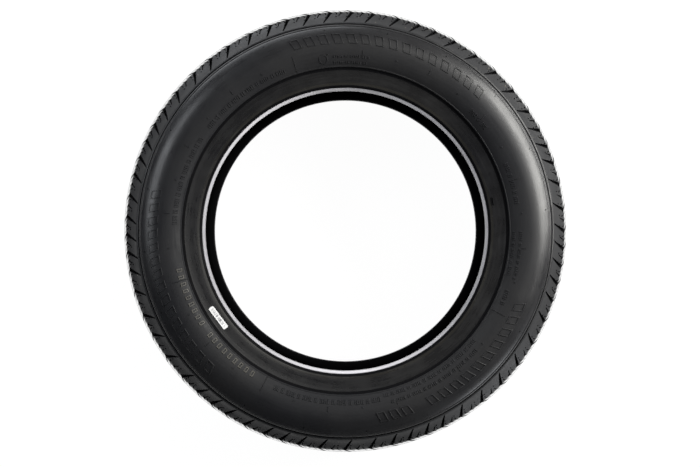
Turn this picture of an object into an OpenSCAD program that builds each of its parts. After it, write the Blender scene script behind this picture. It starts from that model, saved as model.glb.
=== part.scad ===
// Trailer tyre, 195/50 section for a 13 inch rim, lying on its side with its axis upright.
// The origin is the middle of the tyre. All sizes are in millimetres.

/* [Tread] */
// Radius over the middle of the tread, half the overall diameter
crown_r = 263; // [258:0.5:268]
// Radius of the curve across the tread
tread_curve_r = 290; // [240:5:400]
// Half width of the tread, out to the shoulder corner
tread_half_w = 78; // [76:0.5:80]
// Chamfer on the shoulder corner
corner_cut = 1.2; // [0.6:0.1:2]
// Height of the shoulder, from the middle of the tread in to where the tread blocks run out
shoulder_h = 24; // [22:0.5:26]
// Width of the ledge at the foot of the shoulder
ledge_w = 2; // [1:0.2:3]
// Depth of the ledge under the edge of the sidewall
ledge_drop = 0.5; // [0.2:0.1:1]

/* [Main grooves] */
// Width of each groove that runs round the tread, at the surface
groove_w = 8; // [6:0.5:10]
// Depth of those grooves
groove_depth = 8; // [5:0.5:9]
// Slant of their walls, in degrees
groove_draft = 8; // [2:1:15]
// Distance from the middle of the tread to each inner groove
inner_groove_z = 19; // [16:0.5:21]
// Distance from the middle of the tread to each outer groove
outer_groove_z = 50; // [46:0.5:53]

/* [Tread pitches] */
// Order of short, medium and long pitches round the tyre
pitch_order = "SSSMLLLLLMSSSMLLMSSMMSSMLLMLMSSSMMSSSSMLMMLMSMMMMLMSMLLLLMSSMLMS";
// Place of the first pitch round the tyre, in degrees
first_pitch = 4.8; // [0:0.1:10]
// Length of a medium pitch against a short one
medium_ratio = 1.207; // [1.1:0.01:1.3]
// Length of a long pitch against a short one
long_ratio = 1.43; // [1.31:0.01:1.6]
// Angle by which the lower side's pitches trail the upper side's
side_shift = 2.3; // [0:0.1:4]
// Slant of the cuts across the tread, as travel round it for each unit across
cross_slant = 0.52; // [0.3:0.02:0.6]
// Slant of the cuts down the shoulder, the other way
drop_slant = 0.46; // [0.3:0.02:0.6]

/* [Shoulder grooves] */
// Width of a shoulder groove at the corner, where it is widest
hook_w = 4.2; // [3:0.1:4.8]
// Width of a shoulder groove at its tail
hook_tail_w = 1.2; // [0.8:0.1:2.2]
// Depth of a shoulder groove across the tread
hook_depth = 6.5; // [4:0.5:7.5]
// Depth of a shoulder groove where it turns down the shoulder
hook_drop_depth = 4.6; // [3:0.2:5.4]
// Depth of a shoulder groove at its tail
hook_tail_depth = 1.2; // [0.6:0.2:2.4]
// Distance from that tail to the ledge
hook_tail_gap = 1; // [0.6:0.2:3]

/* [Block notches] */
// Width of the notch in the corner of each shoulder block
notch_w = 2; // [1.4:0.1:2.4]
// Width of that notch at its tail
notch_tail_w = 1.2; // [0.8:0.1:1.4]
// Length of that notch across the tread
notch_l = 9; // [6:0.5:12]
// Length of that notch down the shoulder
notch_drop_l = 7; // [4:0.5:8.5]
// Depth of that notch
notch_depth = 3; // [2:0.2:4]
// Depth of that notch at its tail
notch_tail_depth = 1.2; // [0.6:0.2:1.8]

/* [Rib slots] */
// Width of the slots in the ribs between the main grooves
slot_w = 2.8; // [1.6:0.1:3.4]
// Length of those slots across the tread
slot_l = 14; // [8:0.5:17]
// Depth of those slots
slot_depth = 6; // [3:0.5:7]

/* [Sidewall] */
// Half of the section width, at the widest place of the sidewall
section_half_w = 100.5; // [99:0.5:102]
// How far the sidewall's curve bulges out past its two ends
bulge_h = 9.4; // [8.6:0.1:10.2]
// Height of the fine moulded rings on the sidewall
ring_h = 0.7; // [0.4:0.1:1]
// Width of the ring at the foot of the shoulder
shoulder_ring_w = 3.2; // [2:0.2:4]
// Width of the fitting ring, which shows above the rim flange
fitting_ring_w = 1.3; // [1:0.1:2]

/* [Inside] */
// Thickness from the inner liner to the middle of the tread
crown_t = 17.5; // [16:0.5:19]
// Thickness of the sidewall at its widest place
wall_t = 10; // [8:0.5:11]
// How far the inner liner curves in, from the middle of the tread to its shoulder
liner_drop = 5.5; // [4:0.5:7]

/* [Bead] */
// Radius of the bead toe, the narrowest place of the tyre
toe_r = 162.6; // [161.6:0.1:163.6]
// Height of the bead, from the toe out to the fitting ring
bead_h = 24.8; // [23.4:0.2:26]
// Thickness of the bead, from the toe out to the cavity
bead_t = 17.9; // [17:0.1:20]
// Distance from the middle of the tyre to the tip of the toe
toe_z = 62; // [60:0.5:64]
// Length of the straight land behind the toe
toe_land = 4; // [3:0.5:5]
// Taper of the bead seat in degrees, as on the rim
seat_taper = 5; // [3:0.5:7]
// Radius of the rounded heel
heel_round_r = 4.5; // [3:0.25:6]
// Slope of the bead's outer face in degrees
face_slope = 12; // [10:0.5:14]
// Width of the hollow between the fitting ring and the bead's outer face
hollow_w = 5; // [4:0.5:6.5]
// Depth of the hollow, from the fitting ring's foot to the bead's outer face
hollow_drop = 2.9; // [2.2:0.1:3.6]

/* [Label] */
// Length of the paper label on the bead
label_l = 31.5; // [25:0.5:36]
// Height of the label
label_h = 7.4; // [5:0.2:8]
// Thickness of the label
label_t = 0.3; // [0.2:0.05:0.5]
// Thickness of the glue under the label
label_glue_t = 0.05; // [0.02:0.01:0.1]
// Radius of the label's corners
label_corner_r = 1.2; // [0.6:0.1:2]
// Distance from the hollow to the middle of the label
label_inset = 5.8; // [5.4:0.1:7.5]
// Place of the label round the tyre, in degrees
label_angle = -145.8; // [-180:0.1:180]
// Tilt of the label on the bead, in degrees
label_tilt = 2.5; // [0:0.5:3]

/* [Hidden] */
$fn = 192;
// How far cutting shapes stand past what they cut
over = 2;
// Outline of the inside of the bead, as steps away from the toe's tip
toe_steps = [[1.6, -1.6], [10, -0.5], [19, 6.5], [26, 16]];

pitches = len(pitch_order);
short_pitch = 360 / sum_to(pitches, 1);

// The sidewall's curve runs from the fitting ring to the ledge at the foot of the shoulder
fitting_ring_r = toe_r + bead_h;
bulge_end_r = crown_r - shoulder_h - ledge_w;
bulge_r = (fitting_ring_r + bulge_end_r) / 2;
bulge_curve_r = arc_radius((bulge_end_r - fitting_ring_r) / 2, bulge_h);
bulge_z = section_half_w - bulge_curve_r;
corner = [crown(tread_half_w), tread_half_w];
foot = [bulge_end_r + ledge_w, bulge(bulge_end_r) - ledge_drop];
shoulder_l = norm(foot - corner);
shoulder_tilt = atan2(corner[0] - foot[0], foot[1] - corner[1]);
rib_edge_z = outer_groove_z + groove_w / 2;

tip = [toe_r, toe_z];
seat_start = [toe_r, toe_z + toe_land];
face_end = [fitting_ring_r - hollow_w, bulge(fitting_ring_r) - hollow_drop];
// Outward normals of the bead seat and of the bead's outer face
seat_normal = [-cos(seat_taper), sin(seat_taper)];
face_normal = [-sin(face_slope), cos(face_slope)];
heel = cross_point(seat_start, seat_taper, face_end, face_slope);
heel_centre = inset(heel, seat_normal, face_normal, heel_round_r);
face_l = norm(face_end - heel_centre - face_normal * heel_round_r);

// The cavity's curve fits between the bead and the end of the liner
cavity_curve_r = (crown_r - crown_t - liner_drop - toe_r - bead_t) / 2;
cavity_r = toe_r + bead_t + cavity_curve_r;
cavity_z = section_half_w - wall_t - cavity_curve_r;
liner_curve_r = arc_radius(cavity_z, liner_drop);

// Radius of the tread's curve at distance z from its middle
function crown(z) = crown_r - tread_curve_r + sqrt(tread_curve_r ^ 2 - z ^ 2);
// Radius of the inner liner under the tread at distance z from the middle
function liner(z) = crown_r - crown_t - liner_curve_r + sqrt(liner_curve_r ^ 2 - z ^ 2);
// Distance of the sidewall's curve from the middle plane, at radius r
function bulge(r) = bulge_z + sqrt(bulge_curve_r ^ 2 - (r - bulge_r) ^ 2);
// Radius of an arc that rises by h over the distance d from its end to its middle
function arc_radius(d, h) = (d ^ 2 + h ^ 2) / (2 * h);
// Length of pitch i against a short one
function pitch_len(i) =
    pitch_order[i] == "S" ? 1 : pitch_order[i] == "M" ? medium_ratio : long_ratio;
// Length of the first i pitches, where a short one has the given size
function sum_to(i, size) = i == 0 ? 0 : sum_to(i - 1, size) + size * pitch_len(i - 1);
// Points of an arc in n steps, from angle a1 to a2
function arc(centre, r, a1, a2, n) =
    [for (i = [0 : n]) let (a = a1 + (a2 - a1) * i / n) centre + r * [cos(a), sin(a)]];
// Where the seat line from p, tapered outwards by a, meets the face line through q, sloped by b
function cross_point(p, a, q, b) =
    let (z = (q[1] + (p[0] - p[1] * tan(a) - q[0]) * tan(b)) / (1 - tan(a) * tan(b)))
    [p[0] + (z - p[1]) * tan(a), z];
// The point that lies d inside both lines through p, whose outward normals are m and n
function inset(p, m, n, d) =
    let (k = m[0] * n[1] - m[1] * n[0])
    p + d / k * [m[1] - n[1], n[0] - m[0]];
// An outline above the middle plane, followed by its mirror image below
function both(points) = concat(points,
    [for (i = [len(points) - 1 : -1 : 0]) if (points[i][1] > 0) [points[i][0], -points[i][1]]]);

// The section's outer outline, with the sidewall's curve left out
module outline() {
    chamfer_z = tread_half_w - corner_cut;
    polygon(both(concat(
        [for (z = [0, inner_groove_z, outer_groove_z, rib_edge_z, chamfer_z]) [crown(z), z]],
        [corner + (foot - corner) / shoulder_l * corner_cut],
        [foot, [bulge_end_r, foot[1]], [bulge_end_r, bulge_z], [fitting_ring_r, bulge_z]],
        [[fitting_ring_r, bulge(fitting_ring_r)], face_end],
        arc(heel_centre, heel_round_r, 90 + face_slope, 180 - seat_taper, 4),
        [seat_start, [toe_r, 0]]
    )));
}

// The sidewall's curve between two radii, raised by h
module bulge_band(r1, r2, h) {
    intersection() {
        translate([bulge_r, bulge_z]) circle(bulge_curve_r + h);
        translate([r1, bulge_z]) square([r2 - r1, bulge_curve_r + over]);
    }
}

// One sidewall, with the fitting ring and the ring at the foot of the shoulder
module sidewall() {
    bulge_band(fitting_ring_r, bulge_end_r, 0);
    bulge_band(fitting_ring_r, fitting_ring_r + fitting_ring_w, ring_h);
    bulge_band(bulge_end_r - shoulder_ring_w, bulge_end_r, ring_h);
}

// The cavity that holds the air, open between the beads
module cavity() {
    polygon(both(concat(
        [[toe_r - over, toe_z], tip],
        [for (s = toe_steps) tip + s],
        arc([cavity_r, cavity_z], cavity_curve_r, 120, 0, 8),
        [for (k = [2 / 3, 1 / 3, 0]) [liner(k * cavity_z), k * cavity_z]]
    )));
}

// Outline of a main groove at distance z from the middle, cut square to the tread
module main_groove(z) {
    top = groove_w / 2 + over * tan(groove_draft);
    floor = groove_w / 2 - groove_depth * tan(groove_draft);
    translate([crown(z), z]) rotate(asin(z / tread_curve_r))
        polygon([[over, top], [over, -top], [-groove_depth, -floor], [-groove_depth, floor]]);
}

// The whole section of the tyre, with its main grooves
module section() {
    difference() {
        union() {
            outline();
            sidewall();
            mirror([0, 1]) sidewall();
        }
        cavity();
        for (z = [-outer_groove_z, -inner_groove_z, inner_groove_z, outer_groove_z])
            main_groove(z);
    }
}

// A straight-walled cut at the given radius and height, square to a surface that leans by
// tilt. Its outline has the way round the tyre as x and the way across it as y.
module tread_cut(at, tilt, depth, clear) {
    translate([at[0], 0, at[1]]) rotate([0, -tilt, 0]) rotate([90, 0, 90])
        translate([0, 0, -depth]) linear_extrude(depth + clear) children();
}

// A cut with its point at the shoulder's corner. It slants inwards across the tread for
// cross_l, and its tail slants back down the shoulder for drop_l, getting shallower.
module hook(w, tail_w, depth, cross_l, drop_depth, tail_depth, drop_l) {
    mid_z = tread_half_w - cross_l / 2;
    out = cross_l / 2 + over;
    tread_cut([crown(mid_z), mid_z], asin(mid_z / tread_curve_r), depth, over * 2)
        slanted(w, out, w, -cross_l / 2, cross_l / 2, -cross_slant);
    tread_cut(corner + (foot - corner) * drop_l / shoulder_l,
            shoulder_tilt - asin((drop_depth - tail_depth) / drop_l), tail_depth,
            drop_depth + over * 2)
        slanted(tail_w, 0, w, -drop_l - over, -drop_l, drop_slant);
}

// A strip from y1, where it is w1 wide, to y2, where it is w2 wide. It crosses x = 0 at y = y0.
module slanted(w1, y1, w2, y2, y0, slant) {
    x1 = (y1 - y0) * slant;
    x2 = (y2 - y0) * slant;
    polygon([[x1 - w1 / 2, y1], [x1 + w1 / 2, y1], [x2 + w2 / 2, y2], [x2 - w2 / 2, y2]]);
}

// A slot in the rib between the main grooves, open to the outer one
module rib_slot() {
    z = outer_groove_z - groove_w / 2;
    tread_cut([crown(z), z], asin((z - slot_l / 2) / tread_curve_r), slot_depth, over)
        slanted(slot_w, over, slot_w, -slot_l, 0, -cross_slant);
}

// All cuts of one side of the tread, pitch by pitch
module side_cuts() {
    for (i = [0 : pitches - 1]) {
        start = first_pitch + sum_to(i, short_pitch);
        middle = start + short_pitch * pitch_len(i) / 2;
        rotate(-start) hook(hook_w, hook_tail_w, hook_depth, tread_half_w - rib_edge_z + over,
            hook_drop_depth, hook_tail_depth, shoulder_l - hook_tail_gap);
        rotate(-middle) hook(notch_w, notch_tail_w, notch_depth, notch_l,
            notch_depth, notch_tail_depth, notch_drop_l);
        rotate(-middle) rib_slot();
    }
}

// The tyre itself, moulded in one piece
module tyre() {
    color([0.13, 0.13, 0.135]) difference() {
        rotate_extrude() section();
        side_cuts();
        rotate([180, 0, side_shift]) side_cuts();
    }
}

// The label's outline, with rounded corners
module label_outline() {
    a = label_h / 2 - label_corner_r;
    b = label_l / 2 - label_corner_r;
    square([label_h, 2 * b], center = true);
    square([2 * a, label_l], center = true);
    for (x = [-a, a], y = [-b, b]) translate([x, y]) circle(label_corner_r);
}

// The paper label, stuck on the bead's outer face
module bead_label() {
    color("white") intersection() {
        rotate_extrude() translate(face_end) rotate(face_slope)
            translate([-face_l, label_glue_t]) square([face_l, label_t]);
        rotate(label_angle) translate([face_end[0] - label_inset, 0, 0]) rotate(label_tilt)
            linear_extrude(section_half_w) label_outline();
    }
}

tyre();
bead_label();
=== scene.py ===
import math

import bmesh
import bpy
from mathutils import Matrix, Vector


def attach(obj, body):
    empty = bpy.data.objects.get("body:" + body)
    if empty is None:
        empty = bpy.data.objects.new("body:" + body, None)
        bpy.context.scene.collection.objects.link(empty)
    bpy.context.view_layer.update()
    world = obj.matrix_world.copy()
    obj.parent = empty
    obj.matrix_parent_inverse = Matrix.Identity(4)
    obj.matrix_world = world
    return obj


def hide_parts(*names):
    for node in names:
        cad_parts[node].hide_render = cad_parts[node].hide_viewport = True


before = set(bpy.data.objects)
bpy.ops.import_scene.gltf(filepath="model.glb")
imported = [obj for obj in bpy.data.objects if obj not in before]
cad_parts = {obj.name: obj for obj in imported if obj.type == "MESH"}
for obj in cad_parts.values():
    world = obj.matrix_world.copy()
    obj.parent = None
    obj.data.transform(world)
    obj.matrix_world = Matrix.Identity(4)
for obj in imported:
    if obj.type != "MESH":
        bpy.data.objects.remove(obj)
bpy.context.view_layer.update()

# The photograph looks straight along the tyre's axis. The tyre lies on its side, so the camera
# looks down on it. The gap between the near and the far bead ring gives the camera's distance.
mm = 0.001
photo_w, photo_h = 700, 467
tyre_px = (345.3, 230.9)
camera_height = 1817 * mm
focal_px = 1507.9

lens = bpy.data.cameras.new("camera")
lens.sensor_width = 36
lens.lens = focal_px / photo_w * lens.sensor_width
lens.shift_x = (photo_w / 2 - tyre_px[0]) / photo_w
lens.shift_y = (tyre_px[1] - photo_h / 2) / photo_w
lens.clip_start = 0.01
camera = bpy.data.objects.new("camera", lens)
camera.location = (0, 0, camera_height)
bpy.context.collection.objects.link(camera)
bpy.context.scene.camera = camera

# The casing is one moulded ring of black rubber. Its section is drawn once, from the middle of
# the tread over the shoulder and sidewall to the bead and back along the liner, then spun.
degree = math.radians(1)
crown_r = 263 * mm
tread_curve_r = 290 * mm
tread_half_w = 78 * mm
groove_places = (19 * mm, 50 * mm)
groove_w, groove_depth, groove_draft = 8 * mm, 8 * mm, 8 * degree
groove_ease, groove_fillet = 0.3 * mm, 1.3 * mm
toe = (162.6 * mm, 62 * mm)
toe_land = 4 * mm
seat_z = toe[1] + toe_land
seat_taper = 5 * degree
fitting_ring_r = toe[0] + 24.8 * mm
section_half_w = 100.5 * mm
bulge_h = 9.4 * mm
shoulder_h = 24 * mm
ledge_w, ledge_drop = 2 * mm, 0.5 * mm
foot = (crown_r - shoulder_h, section_half_w - bulge_h - ledge_drop)
bulge_end_r = foot[0] - ledge_w
bulge_r = (fitting_ring_r + bulge_end_r) / 2
bulge_curve_r = ((bulge_end_r - fitting_ring_r) ** 2 / 4 + bulge_h ** 2) / (2 * bulge_h)
bulge_z = section_half_w - bulge_curve_r
hollow_w, hollow_drop = 5 * mm, 2.9 * mm
face_end = (fitting_ring_r - hollow_w, section_half_w - bulge_h - hollow_drop)
face_slope = 12 * degree
face_step, face_steps = 2 * mm, 6
wave_h, wave_l = 0.1 * mm, 14 * mm
heel_centre = (toe[0] + 5.8 * mm, 80.62 * mm)
heel_round_r = 4.5 * mm
cavity_centre = (210.2 * mm, 60.7 * mm)
cavity_curve_r = 29.8 * mm
liner_r = crown_r - 17.5 * mm
ring_steps = 256


def crown(z):
    """Radius of the uncut tread at a height."""
    return crown_r - tread_curve_r + math.sqrt(tread_curve_r ** 2 - z ** 2)


def bulge(r):
    """Height of the sidewall's bulge at a radius."""
    return bulge_z + math.sqrt(bulge_curve_r ** 2 - (r - bulge_r) ** 2)


def bead_face(r):
    """Height of the bead's outer face at a radius, with the shallow wave left by the mould."""
    wave = wave_h * math.sin((face_end[0] - r) / wave_l * 2 * math.pi)
    return face_end[1] - (face_end[0] - r) * math.tan(face_slope) - wave


def arc(centre, radius, first, last, steps):
    """Points of an arc from one angle to another."""
    angles = [first + (last - first) * i / steps for i in range(steps + 1)]
    return [(centre[0] + radius * math.cos(a), centre[1] + radius * math.sin(a)) for a in angles]


def main_groove(z):
    """The outline of one main groove, with a round bottom and eased edges."""
    lean = math.asin(z / tread_curve_r)
    half = groove_w / 2
    narrow = half - groove_depth * math.tan(groove_draft)
    fillet = groove_fillet
    side = [(half + groove_ease, 0), (half, -groove_ease),
            (narrow + 0.15 * fillet, fillet - groove_depth),
            (narrow - 0.3 * fillet, 0.3 * fillet - groove_depth), (narrow - fillet, -groove_depth)]
    across = [(-u, w) for u, w in side] + side[::-1]
    return [(crown(z) + w * math.cos(lean) - u * math.sin(lean),
             z + w * math.sin(lean) + u * math.cos(lean)) for u, w in across]


def shoulder():
    """From the tread's eased corner down the buttress to its ledge and the ring beside that."""
    start = Vector((crown(tread_half_w), tread_half_w))
    end = Vector(foot)
    eased = [(crown(tread_half_w - 1.4 * mm), tread_half_w - 1.4 * mm),
             (crown(tread_half_w) - 0.15 * mm, tread_half_w - 0.35 * mm)]
    hollow = Vector((-0.35, -0.35)) * mm
    buttress = [tuple(start.lerp(end, t) + hollow * math.sin(math.pi * t))
                for t in (0.07, 0.3, 0.55, 0.8, 0.96)]
    ledge = [(end.x - 0.35 * mm, end.y + 0.15 * mm), (bulge_end_r + 0.4 * mm, end.y + 0.5 * mm)]
    ring = [(0, -0.9), (-0.6, -0.85), (-0.95, 0.1), (-1.25, 0.6), (-1.8, 0.7), (-2.4, 0.5),
            (-2.9, 0.0), (-3.3, -0.16), (-3.9, 0)]
    return eased + buttress + ledge + [
        (bulge_end_r + out * mm, bulge(bulge_end_r + out * mm) + lift * mm) for out, lift in ring]


def sidewall():
    """The sidewall's round bulge, the sharp fitting ring and the hollow behind it."""
    first, last = [math.acos((r - bulge_r) / bulge_curve_r)
                   for r in (bulge_end_r - 4.6 * mm, fitting_ring_r + 2.2 * mm)]
    ring = [(1.7, 0), (1.3, 0.45), (0.8, 0.7), (0.35, 0.5), (0, -0.25)]
    hollow = [(fitting_ring_r - w * mm, face_end[1] + z * mm)
              for w, z in ((0.7, 1.45), (1.5, 1.0), (3, 0.52))]
    return arc((bulge_r, bulge_z), bulge_curve_r, first, last, 20) + [
        (fitting_ring_r + out * mm, bulge(fitting_ring_r + out * mm) + lift * mm)
        for out, lift in ring] + hollow


def bead():
    """The face that the rim flange clamps, the round heel, the tapered seat and the toe."""
    face = [(r, bead_face(r)) for r in [face_end[0] - i * face_step for i in range(face_steps + 1)]]
    heel = arc(heel_centre, heel_round_r, 90 * degree + face_slope, 180 * degree - seat_taper, 6)
    seat = [(toe[0] + (z - seat_z) * math.tan(seat_taper), z) for z in (79.6 * mm, 75 * mm)]
    land = [(toe[0] + 0.25 * mm, seat_z + 2.5 * mm), (toe[0], seat_z),
            (toe[0], toe[1] + 0.6 * mm), (toe[0] + 0.3 * mm, toe[1] - 0.2 * mm)]
    inner = [(1.6, -1.4), (6, -1.5), (10, -0.5), (14.5, 2.4), (19, 6.6), (23, 11.4),
             (26.5, 16.2), (29.6, 21)]
    return face + heel + seat + land + [(toe[0] + r * mm, toe[1] + z * mm) for r, z in inner]


def section_half():
    """The section's outline on one side of the middle, from the tread round to the liner."""
    inner, outer = groove_places
    ribs = [(0, 7, 14), (28, 35, 41), (59, 65, 71)]
    tops = [[(crown(z * mm), z * mm) for z in rib] for rib in ribs]
    cavity = arc(cavity_centre, cavity_curve_r, 120 * degree, 0, 9)
    liner = [(liner_r - 2.4 * mm, 41 * mm), (liner_r - 0.6 * mm, 20.5 * mm), (liner_r, 0)]
    return (tops[0] + main_groove(inner) + tops[1] + main_groove(outer) + tops[2] + shoulder()
            + sidewall() + bead() + cavity + liner)


def spun_casing():
    """The outline, mirrored to the lower side and spun once round the axis."""
    upper = section_half()
    lower = [(r, -z) for r, z in reversed(upper) if z > 0]
    bm = bmesh.new()
    verts = [bm.verts.new((r, 0, z)) for r, z in upper + lower]
    edges = [bm.edges.new(pair) for pair in zip(verts, verts[1:] + verts[:1])]
    bmesh.ops.spin(bm, geom=verts + edges, cent=(0, 0, 0), axis=(0, 0, 1), angle=2 * math.pi,
                   steps=ring_steps, use_merge=True)
    bmesh.ops.recalc_face_normals(bm, faces=bm.faces)
    return bm


def to_object(bm, name):
    mesh = bpy.data.meshes.new(name)
    bm.to_mesh(mesh)
    bm.free()
    obj = bpy.data.objects.new(name, mesh)
    bpy.context.collection.objects.link(obj)
    return obj


tyre = to_object(spun_casing(), "tyre_rubber")

# The tread blocks come from steel blades and ribs in the mould. Each pitch has a hooked groove
# over the shoulder, a smaller notch half way, a slot in the next rib, and fine sipes.
pitch_order = "SSSMLLLLLMSSSMLLMSSMMSSMLLMLMSSSMMSSSSMLMMLMSMMMMLMSMLLLLMSSMLMS"
pitch_lengths = {"S": 1, "M": 1.207, "L": 1.43}
first_pitch = 4.8 * degree
side_shift = 2.3 * degree
cross_slant, drop_slant = 0.3, 0.5
over = 2 * mm
hook_cross_w, hook_w, hook_tail_w, hook_tail_gap = 3.4 * mm, 5.2 * mm, 1.8 * mm, 1 * mm
hook_depth, hook_drop_depth, tail_depth = 6.5 * mm, 4.6 * mm, 1.2 * mm
notch_w, notch_tail_w, notch_depth = 2 * mm, 1.2 * mm, 3 * mm
notch_l, notch_drop_l = 9 * mm, 7 * mm
slot_w, slot_l, slot_depth = 2.8 * mm, 14 * mm, 6 * mm
sipe_w, sipe_l, sipe_depth = 1.1 * mm, 11 * mm, 4 * mm
shoulder_sipe_l, shoulder_sipe_depth, shoulder_sipe_out = 15 * mm, 2.6 * mm, 3.4 * mm
pit_r, pit_depth, pit_drop = 0.9 * mm, 1.5 * mm, 7 * mm
vent_hole_r, vent_depth, vent_circle_r, vents = 0.75 * mm, 1.2 * mm, 230 * mm, 20
first_vent = 336 * degree
recess_angle, recess_r = 348.7 * degree, 171.4 * mm
recess_l, recess_w, recess_depth = 9 * mm, 3.4 * mm, 0.9 * mm

tread_corner = Vector((crown(tread_half_w), tread_half_w))
shoulder_fall = Vector(foot) - tread_corner
shoulder_l = shoulder_fall.length
shoulder_tilt = math.atan2(-shoulder_fall.x, shoulder_fall.y)
rib_edge = groove_places[1] + groove_w / 2
# Turns a flat outline, drawn as way round the tyre and way across it, to face outwards
outwards = Matrix(((0, 0, 1, 0), (1, 0, 0, 0), (0, 1, 0, 0), (0, 0, 0, 1)))
lower_side = Matrix.Rotation(side_shift, 4, "Z") @ Matrix.Rotation(math.pi, 4, "X")


def pitch_places():
    """Each pitch's start and middle, as angles clockwise from the photograph's right."""
    total = sum(pitch_lengths[p] for p in pitch_order)
    starts, middles, at = [], [], first_pitch
    for p in pitch_order:
        size = pitch_lengths[p] / total * 2 * math.pi
        starts.append(at)
        middles.append(at + size / 2)
        at += size
    return starts, middles


def strip(w1, y1, w2, y2, y0, slant):
    """A strip from y1 to y2 with the widths w1 and w2 there. It crosses x = 0 at y0."""
    x1, x2 = (y1 - y0) * slant, (y2 - y0) * slant
    return [(x1 - w1 / 2, y1), (x2 - w2 / 2, y2), (x2 + w2 / 2, y2), (x1 + w1 / 2, y1)]


def add_cut(bm, outline, at, tilt, depth, clear):
    """A straight-walled blade, square to a surface that leans by tilt at radius and height at."""
    base = bm.faces.new([bm.verts.new((x, y, -depth)) for x, y in outline])
    verts = list(base.verts)
    grown = bmesh.ops.extrude_face_region(bm, geom=[base])["geom"]
    top = [g for g in grown if isinstance(g, bmesh.types.BMVert)]
    bmesh.ops.translate(bm, verts=top, vec=(0, 0, depth + clear))
    place = Matrix.Translation((at[0], 0, at[1])) @ Matrix.Rotation(-tilt, 4, "Y") @ outwards
    bmesh.ops.transform(bm, matrix=place, verts=verts + top)


def cross_cut(bm, w, depth, cross_l, out=over):
    """A cut across the tread, from the shoulder's corner inwards."""
    mid = tread_half_w - cross_l / 2
    add_cut(bm, strip(w, cross_l / 2 + out, w, -cross_l / 2, cross_l / 2, -cross_slant),
            (crown(mid), mid), math.asin(mid / tread_curve_r), depth, 2 * over)


def drop_cut(bm, w, tail_w, depth, drop_l):
    """A cut that gets narrower and shallower down the shoulder."""
    add_cut(bm, strip(tail_w, 0, w, -drop_l - over, -drop_l, drop_slant),
            tread_corner + shoulder_fall * drop_l / shoulder_l,
            shoulder_tilt - math.asin((depth - tail_depth) / drop_l), tail_depth,
            depth + 2 * over)


def rib_cut(bm, w, length, depth, z, slant):
    """A cut in a rib between main grooves, from height z towards the middle."""
    add_cut(bm, strip(w, over, w, -length, 0, slant), (crown(z), z),
            math.asin((z - length / 2) / tread_curve_r), depth, over)


def pit(bm, radius, depth, at, tilt):
    """A small round hole, square to a surface that leans by tilt at radius and height at."""
    verts = bmesh.ops.create_cone(bm, cap_ends=True, segments=10, radius1=radius, radius2=radius,
                                  depth=2 * depth)["verts"]
    place = Matrix.Translation((at[0], 0, at[1])) @ Matrix.Rotation(-tilt, 4, "Y") @ outwards
    bmesh.ops.transform(bm, matrix=place, verts=verts)


def ring_of(name, angles, add, both_sides=True):
    """One object with the same shape at each angle, on the upper and the lower side."""
    bm = bmesh.new()
    add(bm)
    bmesh.ops.recalc_face_normals(bm, faces=bm.faces)
    first = bm.verts[:] + bm.edges[:] + bm.faces[:]
    sides = [Matrix.Identity(4), lower_side] if both_sides else [Matrix.Identity(4)]
    for angle in angles:
        turn = Matrix.Rotation(-angle, 4, "Z")
        for side in sides:
            copy = bmesh.ops.duplicate(bm, geom=first)["geom"]
            verts = [g for g in copy if isinstance(g, bmesh.types.BMVert)]
            bmesh.ops.transform(bm, matrix=side @ turn, verts=verts)
    bmesh.ops.delete(bm, geom=[g for g in first if isinstance(g, bmesh.types.BMVert)],
                     context="VERTS")
    return to_object(bm, name)


hook_starts, block_middles = pitch_places()
quarters = [(a + b) / 2 for a, b in zip(hook_starts, block_middles)]
hook_ends = hook_starts[1:] + [hook_starts[0] + 2 * math.pi]
three_quarters = [(a + b) / 2 for a, b in zip(block_middles, hook_ends)]
slot_z = groove_places[1] - groove_w / 2
blades = [
    ring_of("hook_blades", hook_starts,
            lambda bm: cross_cut(bm, hook_cross_w, hook_depth, tread_half_w - rib_edge + over)),
    ring_of("tail_blades", hook_starts,
            lambda bm: drop_cut(bm, hook_w, hook_tail_w, hook_drop_depth,
                                shoulder_l - hook_tail_gap)),
    ring_of("notch_blades", block_middles,
            lambda bm: cross_cut(bm, notch_w, notch_depth, notch_l)),
    ring_of("notch_tail_blades", block_middles,
            lambda bm: drop_cut(bm, notch_w, notch_tail_w, notch_depth, notch_drop_l)),
    ring_of("slot_blades", block_middles,
            lambda bm: rib_cut(bm, slot_w, slot_l, slot_depth, slot_z, -cross_slant)),
    ring_of("shoulder_sipes", quarters + three_quarters,
            lambda bm: cross_cut(bm, sipe_w, shoulder_sipe_depth, shoulder_sipe_l,
                                 shoulder_sipe_out)),
    ring_of("rib_sipes", hook_starts,
            lambda bm: rib_cut(bm, sipe_w, sipe_l, sipe_depth, slot_z - 8 * mm, -cross_slant)),
    ring_of("middle_sipes", block_middles,
            lambda bm: rib_cut(bm, sipe_w, sipe_l, sipe_depth, 12 * mm, cross_slant)),
    ring_of("shoulder_pits", quarters + three_quarters,
            lambda bm: pit(bm, pit_r, pit_depth,
                           tread_corner + shoulder_fall * pit_drop / shoulder_l, shoulder_tilt)),
    ring_of("vent_holes", [first_vent + 2 * math.pi * i / vents for i in range(vents)],
            lambda bm: pit(bm, vent_hole_r, vent_depth, (vent_circle_r, bulge(vent_circle_r)),
                           math.acos((vent_circle_r - bulge_r) / bulge_curve_r))),
    ring_of("bead_recess", [recess_angle],
            lambda bm: add_cut(bm, strip(recess_l, -recess_w / 2, recess_l, recess_w / 2, 0, 0),
                               (recess_r, bead_face(recess_r)), math.pi / 2 + face_slope,
                               recess_depth, over), both_sides=False),
]
for blade in blades:
    cut = tyre.modifiers.new(blade.name, "BOOLEAN")
    cut.operation = "DIFFERENCE"
    cut.solver = "MANIFOLD"
    cut.object = blade
cut_mesh = bpy.data.meshes.new_from_object(
    tyre.evaluated_get(bpy.context.evaluated_depsgraph_get()))
tyre.modifiers.clear()
tyre.data = cut_mesh
for blade in blades:
    bpy.data.objects.remove(blade)

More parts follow.
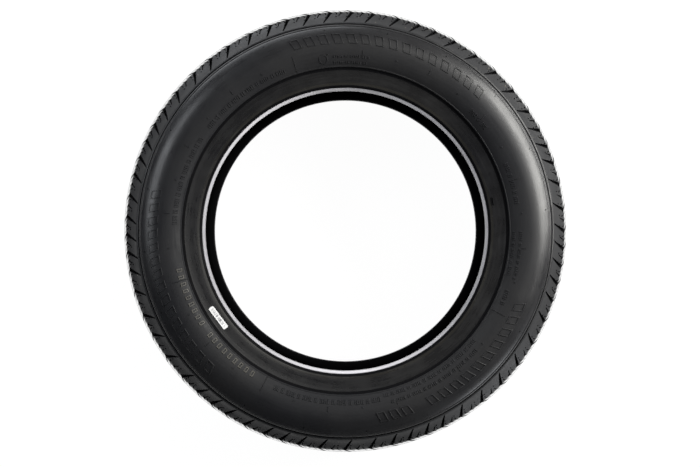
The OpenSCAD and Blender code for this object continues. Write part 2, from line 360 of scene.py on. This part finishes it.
sharp_edge = 28 * degree


def crease(obj):
    """Smooth shading, broken at the sharp edges."""
    bm = bmesh.new()
    bm.from_mesh(obj.data)
    for face in bm.faces:
        face.smooth = True
    for edge in bm.edges:
        edge.smooth = len(edge.link_faces) != 2 or edge.calc_face_angle(0) < sharp_edge
    bm.to_mesh(obj.data)
    bm.free()


crease(tyre)
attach(tyre, "root")
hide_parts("tyre")

# The rubber is carbon black, with a faint satin bloom. The tread is duller than the sidewall,
# the bead seats are smooth from the mould, and the grooves and the liner are matt. The grooves,
# the bead's small recess and the liner are painted darker than the rest as painted shade, and
# the bead seat and toe are painted pale grey as a painted highlight. The sidewall is smooth
# outside the crest of its bulge and matt from there to the bead.
flank_start, flank_end, flank_uneven = 219 * mm, 207 * mm, 3 * mm
drawn_round, drawn_out = 5, 340
speck_scale, speck_share = 260, 0.1
edge_start, edge_full = 0.8, 0.92


def feed(tree, socket, source):
    """Links a socket to its source, or sets it where the source is a number or a colour."""
    if isinstance(source, bpy.types.NodeSocket):
        tree.links.new(source, socket)
    else:
        socket.default_value = source


def maths(tree, operation, *sources):
    node = tree.nodes.new("ShaderNodeMath")
    node.operation = operation
    for socket, source in zip(node.inputs, sources):
        feed(tree, socket, source)
    return node.outputs["Value"]


def vector_maths(tree, operation, *sources):
    node = tree.nodes.new("ShaderNodeVectorMath")
    node.operation = operation
    for socket, source in zip(node.inputs, sources):
        feed(tree, socket, source)
    return node.outputs["Value" if operation == "LENGTH" else "Vector"]


def stretch(tree, value, low, high, to_low=0, to_high=1):
    """Turns the range from low to high into another one, and holds its ends beyond that."""
    node = tree.nodes.new("ShaderNodeMapRange")
    for name, source in (("Value", value), ("From Min", low), ("From Max", high),
                         ("To Min", to_low), ("To Max", to_high)):
        feed(tree, node.inputs[name], source)
    return node.outputs["Result"]


def blend(tree, factor, a, b):
    """The colour a where the factor is 0, and b where it is 1."""
    node = tree.nodes.new("ShaderNodeMix")
    node.data_type = "RGBA"
    for name, source in (("Factor", factor), ("A", a), ("B", b)):
        feed(tree, node.inputs[name], source)
    return node.outputs["Result"]


def noise(tree, place, scale, detail, roughness=0.5):
    node = tree.nodes.new("ShaderNodeTexNoise")
    for name, source in (("Vector", place), ("Scale", scale), ("Detail", detail),
                         ("Roughness", roughness)):
        feed(tree, node.inputs[name], source)
    return node.outputs["Fac"]


def drawn_place(tree, flat, radius):
    """A place drawn out round the tyre: the way round is slow and the way outwards is fast."""
    slow = vector_maths(tree, "MULTIPLY", vector_maths(tree, "NORMALIZE", flat),
                        (drawn_round, drawn_round, 0))
    fast = tree.nodes.new("ShaderNodeCombineXYZ")
    feed(tree, fast.inputs["Z"], maths(tree, "MULTIPLY", radius, drawn_out))
    return vector_maths(tree, "ADD", slow, fast.outputs["Vector"])


def dust_specks(tree, place):
    """A mask of small round specks. Only a share of the cells holds one."""
    cells = tree.nodes.new("ShaderNodeTexVoronoi")
    cells.inputs["Scale"].default_value = speck_scale
    feed(tree, cells.inputs["Vector"], place)
    channels = tree.nodes.new("ShaderNodeSeparateColor")
    feed(tree, channels.inputs["Color"], cells.outputs["Color"])
    rare = maths(tree, "GREATER_THAN", channels.outputs["Red"], 1 - speck_share)
    return maths(tree, "MULTIPLY", stretch(tree, cells.outputs["Distance"], 0.16, 0.08), rare)


def rubber_surface():
    """A group that gives uneven colour, uneven gloss, dust, a grain drawn out by the mould, and
    a mask of the sidewall's matt flank."""
    group = bpy.data.node_groups.new("rubber_surface", "ShaderNodeTree")
    for name, kind, value in (("Colour", "NodeSocketColor", (0.03, 0.03, 0.03, 1)),
                              ("Bloom", "NodeSocketColor", (0.04, 0.04, 0.04, 1)),
                              ("Dust", "NodeSocketColor", (0.2, 0.2, 0.2, 1)),
                              ("Roughness", "NodeSocketFloat", 0.5),
                              ("Grain scale", "NodeSocketFloat", 900.0),
                              ("Flow", "NodeSocketFloat", 3.0)):
        group.interface.new_socket(name, in_out="INPUT", socket_type=kind).default_value = value
    for name, kind in (("Colour", "NodeSocketColor"), ("Roughness", "NodeSocketFloat"),
                       ("Height", "NodeSocketFloat"), ("Flank", "NodeSocketFloat")):
        group.interface.new_socket(name, in_out="OUTPUT", socket_type=kind)
    given = group.nodes.new("NodeGroupInput").outputs
    result = group.nodes.new("NodeGroupOutput").inputs
    place = group.nodes.new("ShaderNodeTexCoord").outputs["Object"]
    flat = vector_maths(group, "MULTIPLY", place, (1, 1, 0))
    radius = vector_maths(group, "LENGTH", flat)
    drawn = drawn_place(group, flat, radius)

    cloud = stretch(group, noise(group, place, 5, 5), 0.38, 0.64)
    body = blend(group, cloud, given["Colour"], given["Bloom"])
    feed(group, result["Colour"], blend(group, dust_specks(group, place), body, given["Dust"]))

    smear = stretch(group, noise(group, place, 34, 6, 0.62), 0.3, 0.7, -0.11, 0.12)
    streak = stretch(group, noise(group, drawn, 1, 3, 0.6), 0.3, 0.7, -0.08, 0.08)
    gloss = maths(group, "ADD", given["Roughness"], smear)
    feed(group, result["Roughness"], maths(group, "ADD", gloss, streak))

    dents = maths(group, "MULTIPLY", noise(group, place, 26, 3), 4)
    flow = maths(group, "MULTIPLY", noise(group, drawn, 1, 2), given["Flow"])
    grain = noise(group, place, given["Grain scale"], 3, 0.6)
    feed(group, result["Height"], maths(group, "ADD", maths(group, "ADD", dents, flow), grain))

    shift = stretch(group, noise(group, place, 12, 3), 0.3, 0.7, -flank_uneven, flank_uneven)
    feed(group, result["Flank"], stretch(group, maths(group, "ADD", radius, shift),
                                         flank_start, flank_end))
    return group


surface_group = rubber_surface()


def rubber(name, colour, bloom, roughness, relief, grain_scale=900, flow=1, dust=None,
           specular=0.5, sheen=0):
    """One finish of the rubber. Relief is the depth of its grain."""
    material = bpy.data.materials.new(name)
    material.use_nodes = True
    tree = material.node_tree
    shader = tree.nodes["Principled BSDF"]
    shader.inputs["Specular IOR Level"].default_value = specular
    shader.inputs["Sheen Weight"].default_value = sheen
    shader.inputs["Sheen Roughness"].default_value = 0.7
    shader.inputs["Sheen Tint"].default_value = (0.95, 0.93, 1, 1)
    surface = tree.nodes.new("ShaderNodeGroup")
    surface.node_tree = surface_group
    for socket, value in (("Colour", (*colour, 1)), ("Bloom", (*bloom, 1)),
                          ("Dust", (*(dust or bloom), 1)), ("Roughness", roughness),
                          ("Grain scale", grain_scale), ("Flow", flow)):
        surface.inputs[socket].default_value = value
    bump = tree.nodes.new("ShaderNodeBump")
    bump.inputs["Strength"].default_value = 1
    bump.inputs["Distance"].default_value = relief
    feed(tree, bump.inputs["Height"], surface.outputs["Height"])
    feed(tree, shader.inputs["Base Color"], surface.outputs["Colour"])
    feed(tree, shader.inputs["Roughness"], surface.outputs["Roughness"])
    feed(tree, shader.inputs["Normal"], bump.outputs["Normal"])
    return material


side_rubber = rubber("sidewall_rubber", (0.012, 0.0124, 0.0148), (0.018, 0.0179, 0.0192), 0.32,
                     0.03 * mm, flow=3, specular=0.25)
bead_rubber = rubber("bead_rubber", (0.008, 0.008, 0.0095), (0.0135, 0.0133, 0.0138), 0.3,
                     0.025 * mm, flow=3.5, specular=0.46)
# A paler, brownish rubber colour, used on one band of outlined frames.
pale_mark_rubber = rubber("pale_mark_rubber", (0.045, 0.042, 0.036), (0.08, 0.075, 0.065), 0.5, 0.02 * mm)
heel_rubber = rubber("heel_rubber", (0.014, 0.0135, 0.013), (0.022, 0.021, 0.019), 0.24,
                     0.015 * mm, flow=3)
# The bead seat and toe are painted pale grey, far lighter than black rubber, as a painted highlight
# for the bright ring they show; the toe's painted highlight is fainter.
seat_painted_highlight = rubber("seat_painted_highlight", (0.095, 0.095, 0.104), (0.13, 0.13, 0.14), 0.22, 0.004 * mm,
                     sheen=1)
toe_painted_highlight = rubber("toe_painted_highlight", (0.05, 0.05, 0.055), (0.07, 0.07, 0.076), 0.3, 0.006 * mm,
                    sheen=0.55)
tread_rubber = rubber("tread_rubber", (0.0085, 0.009, 0.011), (0.0155, 0.0157, 0.017), 0.45,
                      0.045 * mm, 1400, dust=(0.22, 0.2, 0.16), specular=0.42)
crown_rubber = rubber("crown_rubber", (0.018, 0.019, 0.021), (0.028, 0.028, 0.029), 0.36,
                      0.012 * mm, 1400, dust=(0.12, 0.11, 0.1))
# The grooves, cuts and pits are painted darker than the tread, as painted shade in the hollows.
groove_painted_shade = rubber("groove_painted_shade", (0.005, 0.005, 0.006), (0.008, 0.008, 0.009), 0.62,
                       0.02 * mm, specular=0.05)
# The liner inside the casing is painted near black, darker than the rest of the rubber, as painted
# shade.
liner_painted_shade = rubber("liner_painted_shade", (0.002, 0.002, 0.0028), (0.003, 0.003, 0.0038), 0.65,
                      0.03 * mm, specular=0.08)


def matt_flank(material):
    """Dulls the sidewall on its flank and gives it a thin glossy skin everywhere else."""
    tree = material.node_tree
    shader = tree.nodes["Principled BSDF"]
    rough = shader.inputs["Roughness"].links[0].from_socket
    flank = rough.node.outputs["Flank"]
    feed(tree, shader.inputs["Roughness"], maths(tree, "MULTIPLY_ADD", flank, 0.24, rough))
    feed(tree, shader.inputs["Coat Weight"], stretch(tree, flank, 0, 1, 0.5, 0))
    shader.inputs["Coat Roughness"].default_value = 0.32


def smooth_at_grazing(material):
    """Even a dull moulded face mirrors what lies beyond it when it is seen edge on."""
    tree = material.node_tree
    shader = tree.nodes["Principled BSDF"]
    rough = shader.inputs["Roughness"].links[0].from_socket
    facing = tree.nodes.new("ShaderNodeLayerWeight").outputs["Facing"]
    calm = stretch(tree, facing, edge_start, edge_full, 1, 0.15)
    feed(tree, shader.inputs["Roughness"], maths(tree, "MULTIPLY", rough, calm))
    feed(tree, shader.inputs["Coat Weight"], stretch(tree, facing, edge_start, edge_full))
    shader.inputs["Coat Roughness"].default_value = 0.04
    shader.inputs["Coat IOR"].default_value = 2


matt_flank(side_rubber)
smooth_at_grazing(crown_rubber)

# Where one finish ends and the next begins. A lean is how far a face's normal points outwards
finishes = {"side": side_rubber, "tread": tread_rubber, "seat": seat_painted_highlight,
            "liner": liner_painted_shade, "crown": crown_rubber, "groove": groove_painted_shade,
            "bead": bead_rubber, "heel": heel_rubber, "toe": toe_painted_highlight}
heel_r, heel_end_r, seat_start = 166 * mm, 170.4 * mm, 68 * mm
cavity_top = 91 * mm
seat_lean, cavity_lean, crown_lean = -0.88, -0.3, 0.93
groove_lip = 0.6 * mm


def below_surface(r, height):
    """How far a place lies under the uncut tread or shoulder."""
    if height < tread_half_w:
        return crown(height) - r
    inwards = Vector((shoulder_fall.y, -shoulder_fall.x)).normalized()
    return (tread_corner - Vector((r, height))).dot(inwards)


def finish_at(centre, normal):
    """The name of a face's finish, from where the face is and how it leans."""
    r = math.hypot(centre.x, centre.y)
    lean = (normal.x * centre.x + normal.y * centre.y) / r
    height = abs(centre.z)
    # The bead seat and toe take the pale painted-highlight finishes.
    if r < heel_r and height > toe[1] and lean < seat_lean:
        return "seat" if height > seat_start else "toe"
    # Faces inside the casing take the liner's painted shade.
    faces_middle = normal.z * centre.z < 0 and r < liner_r
    faces_axis = lean < cavity_lean and height < cavity_top
    if (faces_middle or faces_axis) and r < liner_r + 1 * mm:
        return "liner"
    # The floor of the bead's small recess gets the same painted shade.
    if abs(r - recess_r) < recess_w and height < bead_face(r) - recess_depth / 2:
        return "groove"
    if r < heel_end_r:
        return "heel"
    if r < face_end[0] + 1 * mm:
        return "bead"
    if r < bulge_end_r - 0.1 * mm:
        return "side"
    # Faces below the uncut tread, in the grooves, cuts and pits, get the painted shade.
    if below_surface(r, height) > groove_lip:
        return "groove"
    return "crown" if lean > crown_lean else "tread"


tyre.data.materials.clear()
for material in finishes.values():
    tyre.data.materials.append(material)
finish_names = list(finishes)
for polygon in tyre.data.polygons:
    polygon.material_index = finish_names.index(finish_at(polygon.center, polygon.normal))

# The mould leaves raised marks on both sidewalls. They are plain here: bands of outlined
# slanted bars on the bulge, rows of small bars nearer the bead, vent ridges and pips.
mark_sink, mark_draft, mark_part_l = 0.3 * mm, 0.45 * mm, 3 * mm
frame_w, frame_l, frame_lean, frame_line, frame_h = 10 * mm, 12 * mm, 4 * mm, 0.6 * mm, 0.8 * mm
frame_step = 15.6 * mm
light_r, light_w, light_l, light_step = 194.5 * mm, 4.4 * mm, 6.6 * mm, 8.2 * mm
light_gap_every = 10
bar_step, bar_h, narrow_bar_w, wide_bar_w = 2.2 * mm, 0.7 * mm, 1.3 * mm, 1.9 * mm
bar_repeat, bar_gaps, wide_every = 9, (5, 8), 3


def raise_mark(bm, height, r, line=None):
    """Gives a flat mark sloped edges and bends it onto the bulge, round radius r. Where line
    gives a width, only the mark's rim is raised."""
    grown = bmesh.ops.extrude_face_region(bm, geom=bm.faces[:])["geom"]
    top = [g for g in grown if isinstance(g, bmesh.types.BMFace)]
    bmesh.ops.translate(bm, verts=bm.verts, vec=(0, 0, -mark_sink))
    bmesh.ops.translate(bm, verts=[g for g in grown if isinstance(g, bmesh.types.BMVert)],
                        vec=(0, 0, mark_sink))
    bmesh.ops.recalc_face_normals(bm, faces=bm.faces)
    steps = [(mark_draft, height)]
    if line:
        steps += [(line, 0), (mark_draft, -height - mark_sink / 2)]
    for thickness, depth in steps:
        bmesh.ops.inset_region(bm, faces=top, thickness=thickness, depth=depth,
                               use_even_offset=True, use_boundary=True)
    for vert in bm.verts:
        along, out, lift = vert.co
        at = r + out
        vert.co = (at * math.cos(along / r), at * math.sin(along / r), bulge(at) + lift)


def flat_bar(bm, width, length, lean=0.0):
    """The flat outline of a bar that points outwards."""
    bmesh.ops.create_grid(bm, x_segments=1, y_segments=max(1, round(length / mark_part_l)),
                          size=0.5)
    bmesh.ops.scale(bm, vec=(width, length, 1), verts=bm.verts)
    for vert in bm.verts:
        vert.co.x += vert.co.y / length * lean


def bar(bm, r, width, length, height=bar_h):
    flat_bar(bm, width, length)
    raise_mark(bm, height, r)


def frame_mark(bm, r, width=frame_w, length=frame_l, lean=frame_lean):
    """The outline of a bar."""
    flat_bar(bm, width, length, lean)
    raise_mark(bm, frame_h, r, frame_line)


def disc(bm, r, radius, height, line=None):
    bmesh.ops.create_circle(bm, cap_ends=True, segments=16, radius=radius)
    raise_mark(bm, height, r, line)


def spread(first, last, r, step):
    """Angles in even steps of arc length, from first to last in degrees."""
    count = max(1, round((last - first) * degree * r / step))
    return [(first + (last - first) * (i + 0.5) / count) * degree for i in range(count)]


def row(first, last, r, length):
    """A row's narrow and wide bars, as angles with a width, and its radius and length. The row
    has a gap after every few bars."""
    places = spread(first, last, r, bar_step)
    kept = [(i, a) for i, a in enumerate(places) if i % bar_repeat not in bar_gaps]
    narrow = [a for i, a in kept if i % wide_every]
    wide = [a for i, a in kept if i % wide_every == 0]
    return ((narrow, narrow_bar_w), (wide, wide_bar_w)), r, length


bands = [(21.6, 64.8, 216 * mm), (69, 80.6, 216 * mm), (133, 193, 219.5 * mm),
         (253, 316, 219.5 * mm)]
rows = [row(40, 77, 193 * mm, 4 * mm), row(42, 75, 201.5 * mm, 4 * mm),
        row(78, 114.7, 196 * mm, 5.5 * mm),
        row(181.9, 213, 195 * mm, 5 * mm), row(217, 250, 195 * mm, 5 * mm),
        row(266, 278, 192.5 * mm, 3 * mm), row(266, 278, 199 * mm, 3 * mm),
        row(316, 324, 198 * mm, 5 * mm), row(337, 351, 198 * mm, 5 * mm),
        row(0, 16, 192.5 * mm, 3.5 * mm), row(0, 16, 200 * mm, 3.5 * mm),
        row(20, 26, 197 * mm, 5 * mm)]
first_vent_line, vent_line_step, vent_line_count = 5.6 * degree, 22.5 * degree, 16
vent_lines = [first_vent_line + vent_line_step * i for i in range(vent_line_count)]
long_lines = [vent_lines[i] for i in (1, 5, 7, 11)]
mark_sets = [ring_of("frames", spread(first, last, r, frame_step),
                     lambda bm, r=r: frame_mark(bm, r)) for first, last, r in bands]
for sizes, r, length in rows:
    mark_sets += [ring_of("bars", angles, lambda bm: bar(bm, r, width, length))
                  for angles, width in sizes]
light_places = [a for i, a in enumerate(spread(121.9, 167.8, light_r, light_step), 1)
                if i % light_gap_every]
# One band of small outlined frames, between about 122 and 168 degrees, is coloured the paler
# rubber.
light_marks = ring_of("light_frames", light_places,
                      lambda bm: frame_mark(bm, light_r, light_w, light_l, 0))
for polygon in light_marks.data.polygons:
    polygon.material_index = 1
mark_sets += [
    light_marks,
    ring_of("short_vent_lines", vent_lines, lambda bm: bar(bm, 204 * mm, 1 * mm, 6 * mm)),
    ring_of("long_vent_lines", long_lines, lambda bm: bar(bm, 194.5 * mm, 1 * mm, 13 * mm)),
    ring_of("pips", [a + vent_line_step / 2 for a in vent_lines],
            lambda bm: disc(bm, 202 * mm, 1.1 * mm, 0.8 * mm)),
    ring_of("round_mark", [262.7 * degree],
            lambda bm: disc(bm, 197 * mm, 5.5 * mm, 0.6 * mm, 0.6 * mm)),
]
bm = bmesh.new()
for marks in mark_sets:
    bm.from_mesh(marks.data)
    bpy.data.objects.remove(marks)
bmesh.ops.recalc_face_normals(bm, faces=bm.faces)
sidewall_marks = to_object(bm, "sidewall_marks")
crease(sidewall_marks)
for material in (side_rubber, pale_mark_rubber):
    sidewall_marks.data.materials.append(material)
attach(sidewall_marks, "root")

# The label is a strip of white paper, stuck on the bead's outer face. It carries only faint
# grey bars of mixed width.
label_l, label_h, label_t = 30 * mm, 6.2 * mm, 0.3 * mm
label_corner_r = 1.6 * mm
label_r = face_end[0] - 6 * mm
label_angle = -145.6 * degree
label_tilt = 2.5 * degree
label_parts = 12
ink_step, ink_share_l, ink_share_h = 0.45 * mm, 0.82, 0.52
paper_colour, ink_colour = (0.95, 0.95, 0.95, 1), (0.33, 0.33, 0.35, 1)


def label_mesh():
    """A flat rounded strip, cut into parts so that it can bend to the bead's face."""
    bm = bmesh.new()
    bmesh.ops.create_grid(bm, x_segments=1, y_segments=1, size=0.5)
    bmesh.ops.scale(bm, vec=(label_h, label_l, 1), verts=bm.verts)
    bmesh.ops.bevel(bm, geom=bm.verts[:], offset=label_corner_r, segments=4, profile=0.5,
                    affect="VERTICES", material=-1)
    for i in range(1, label_parts):
        bmesh.ops.bisect_plane(bm, geom=bm.verts[:] + bm.edges[:] + bm.faces[:],
                               plane_co=(0, (i / label_parts - 0.5) * label_l, 0),
                               plane_no=(0, 1, 0))
    grown = bmesh.ops.extrude_face_region(bm, geom=bm.faces[:])["geom"]
    top = [g for g in grown if isinstance(g, bmesh.types.BMVert)]
    bmesh.ops.translate(bm, verts=top, vec=(0, 0, label_t))
    place = Matrix.Rotation(label_angle, 4, "Z") @ Matrix.Translation((label_r, 0, 0)) \
        @ Matrix.Rotation(label_tilt, 4, "Z")
    bmesh.ops.transform(bm, matrix=place, verts=bm.verts)
    for vert in bm.verts:
        vert.co.z += bead_face(math.hypot(vert.co.x, vert.co.y))
    bmesh.ops.recalc_face_normals(bm, faces=bm.faces)
    return bm


def label_paper():
    """White paper. The bars are random steps along the label, kept inside a margin."""
    material = bpy.data.materials.new("label_paper")
    material.use_nodes = True
    tree = material.node_tree
    shader = tree.nodes["Principled BSDF"]
    shader.inputs["Roughness"].default_value = 0.6
    turn = tree.nodes.new("ShaderNodeMapping")
    turn.vector_type = "TEXTURE"
    turn.inputs["Location"].default_value = (
        label_r * math.cos(label_angle), label_r * math.sin(label_angle), 0)
    turn.inputs["Rotation"].default_value = (0, 0, label_angle + label_tilt)
    feed(tree, turn.inputs["Vector"], tree.nodes.new("ShaderNodeTexCoord").outputs["Object"])
    axes = tree.nodes.new("ShaderNodeSeparateXYZ")
    feed(tree, axes.inputs["Vector"], turn.outputs["Vector"])
    across, along = axes.outputs["X"], axes.outputs["Y"]
    chance = tree.nodes.new("ShaderNodeTexWhiteNoise")
    chance.noise_dimensions = "1D"
    feed(tree, chance.inputs["W"], maths(tree, "FLOOR", maths(tree, "DIVIDE", along, ink_step)))
    printed = maths(tree, "GREATER_THAN", chance.outputs["Value"], 0.5)
    inside_l = maths(tree, "LESS_THAN", maths(tree, "ABSOLUTE", along), ink_share_l / 2 * label_l)
    inside_h = maths(tree, "LESS_THAN", maths(tree, "ABSOLUTE", across), ink_share_h / 2 * label_h)
    ink = maths(tree, "MULTIPLY", maths(tree, "MULTIPLY", printed, inside_l), inside_h)
    feed(tree, shader.inputs["Base Color"], blend(tree, ink, paper_colour, ink_colour))
    return material


label = to_object(label_mesh(), "bead_label_paper")
label.data.materials.append(label_paper())
crease(label)
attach(label, "root")
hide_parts("bead_label")

# The studio is a white floor under the tyre, a strong soft lamp on the right, weaker ones
# overhead and on the left, and two low ones past the photograph's upper and lower edge. The
# floor looks white to the camera and in reflections, and keeps a shadow.
floor_size = 8
floor_gap = 0.4 * mm
floor_colour, shadow_colour, floor_glow = (0.8, 0.8, 0.8, 1), (0.1, 0.1, 0.1, 1), 0.97
dim_sky = 0.06


def floor_paint():
    """Plain white paint for the light, and an even white for the camera and for reflections."""
    material = bpy.data.materials.new("floor_paint")
    material.use_nodes = True
    tree = material.node_tree
    tree.nodes.clear()
    path = tree.nodes.new("ShaderNodeLightPath")
    seen = maths(tree, "MAXIMUM", path.outputs["Is Camera Ray"], path.outputs["Is Glossy Ray"])
    glow = tree.nodes.new("ShaderNodeEmission")
    glow.inputs["Strength"].default_value = floor_glow
    faint = tree.nodes.new("ShaderNodeBsdfDiffuse")
    faint.inputs["Color"].default_value = shadow_colour
    both = tree.nodes.new("ShaderNodeAddShader")
    feed(tree, both.inputs[0], glow.outputs["Emission"])
    feed(tree, both.inputs[1], faint.outputs["BSDF"])
    plain = tree.nodes.new("ShaderNodeBsdfDiffuse")
    plain.inputs["Color"].default_value = floor_colour
    pick = tree.nodes.new("ShaderNodeMixShader")
    feed(tree, pick.inputs["Fac"], seen)
    feed(tree, pick.inputs[1], plain.outputs["BSDF"])
    feed(tree, pick.inputs[2], both.outputs["Shader"])
    out = tree.nodes.new("ShaderNodeOutputMaterial")
    feed(tree, out.inputs["Surface"], pick.outputs["Shader"])
    return material


bm = bmesh.new()
bmesh.ops.create_grid(bm, x_segments=1, y_segments=1, size=floor_size / 2)
bmesh.ops.translate(bm, verts=bm.verts, vec=(0, 0, -section_half_w - floor_gap))
floor = to_object(bm, "floor")
floor.data.materials.append(floor_paint())


def soft_lamp(name, azimuth, from_vertical, distance, size, radiance, colour):
    """A rectangular soft lamp that faces the tyre. Its power follows from how bright it looks."""
    light = bpy.data.lights.new(name, "AREA")
    light.shape = "RECTANGLE"
    light.size, light.size_y = size
    light.energy = radiance * math.pi * size[0] * size[1]
    light.color = colour
    lamp = bpy.data.objects.new(name, light)
    away = Vector((math.sin(from_vertical) * math.cos(azimuth),
                   math.sin(from_vertical) * math.sin(azimuth), math.cos(from_vertical)))
    lamp.location = away * distance
    lamp.rotation_euler = away.to_track_quat("Z", "Y").to_euler()
    bpy.context.collection.objects.link(lamp)


warm = (1.0, 0.99, 0.95)
cool = (0.93, 0.96, 1.0)
soft_lamp("right_lamp", 23 * degree, 57 * degree, 1.0, (0.77, 0.45), 13.5, warm)
soft_lamp("top_lamp", 36 * degree, 28 * degree, 1.9, (1.2, 0.9), 1.9, warm)
soft_lamp("left_lamp", 161 * degree, 47 * degree, 1.8, (1.0, 0.6), 4.4, cool)
soft_lamp("upper_lamp", 114 * degree, 80 * degree, 1.6, (1.5, 0.5), 4.2, cool)
soft_lamp("lower_lamp", -45 * degree, 80 * degree, 1.6, (0.6, 0.5), 4.4, cool)

world = bpy.data.worlds.new("studio")
bpy.context.scene.world = world
world.use_nodes = True
backdrop = world.node_tree.nodes["Background"]
path = world.node_tree.nodes.new("ShaderNodeLightPath")
feed(world.node_tree, backdrop.inputs["Strength"],
     stretch(world.node_tree, path.outputs["Is Camera Ray"], 0, 1, dim_sky, 1))
backdrop.inputs["Color"].default_value = (1, 1, 1, 1)

bpy.context.scene.view_settings.view_transform = "Standard"
